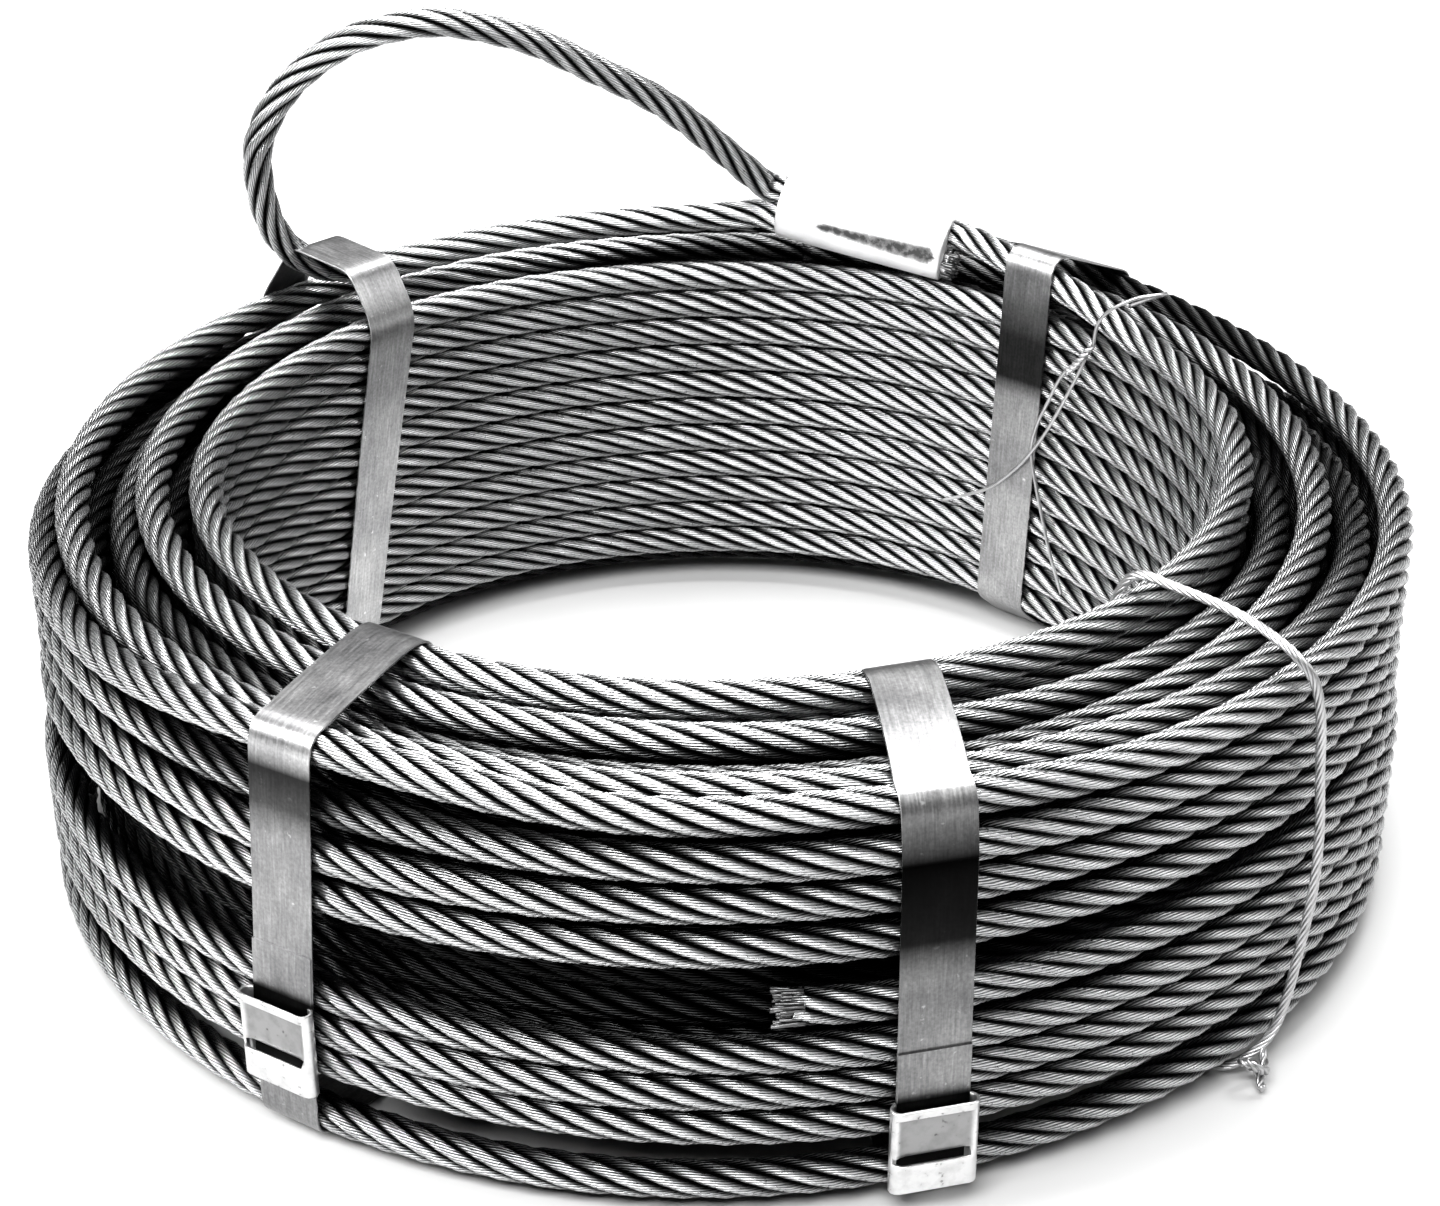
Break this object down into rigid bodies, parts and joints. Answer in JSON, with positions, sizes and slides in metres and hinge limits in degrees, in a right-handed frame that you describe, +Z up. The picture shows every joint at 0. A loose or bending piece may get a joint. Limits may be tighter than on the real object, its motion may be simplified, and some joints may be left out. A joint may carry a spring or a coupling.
{
  "type": "wire rope coil with ferrule eye",
  "caption": "Banded coil of bright six-strand steel wire rope whose end is turned back into a soft eye and held by a pressed aluminium ferrule.",
  "frame": {"origin": "on the coil's axis, in the plane of the bands' undersides", "axes": "+Z up along the coil's axis, the side with the rope's cut end faces -Y, the eye stands at the back (+Y) leaning over to -X"},
  "size_m": [0.4098, 0.4201, 0.2175],
  "materials": {
    "rope_wire": "bright drawn wire, lightly oiled, laid in strands",
    "ferrule": "pressed, satin, with a long press mark",
    "strapping": "rolled strip, fine lengthwise scratches",
    "tie_wire": "soft galvanised wire"
  },
  "bodies": {
    "root": {"rope_layer_1": "rope_wire", "rope_layer_2": "rope_wire", "rope_layer_3": "rope_wire", "rope_layer_4": "rope_wire", "rope_layer_5": "rope_wire", "rope_lead": "rope_wire", "rope_tail": "rope_wire", "live_leg": "rope_wire", "dead_end": "rope_wire", "eye_core": "rope_wire", "eye_strand_1": "rope_wire", "eye_strand_2": "rope_wire", "eye_strand_3": "rope_wire", "eye_strand_4": "rope_wire", "eye_strand_5": "rope_wire", "eye_strand_6": "rope_wire", "ferrule": "ferrule", "band_1": "strapping", "band_2": "strapping", "band_3": "strapping", "band_4": "strapping", "seal_1": "strapping", "seal_2": "strapping", "seal_3": "strapping", "seal_4": "strapping", "strand_tie": "tie_wire", "wire_tie": "tie_wire"}
  },
  "joints": []
}
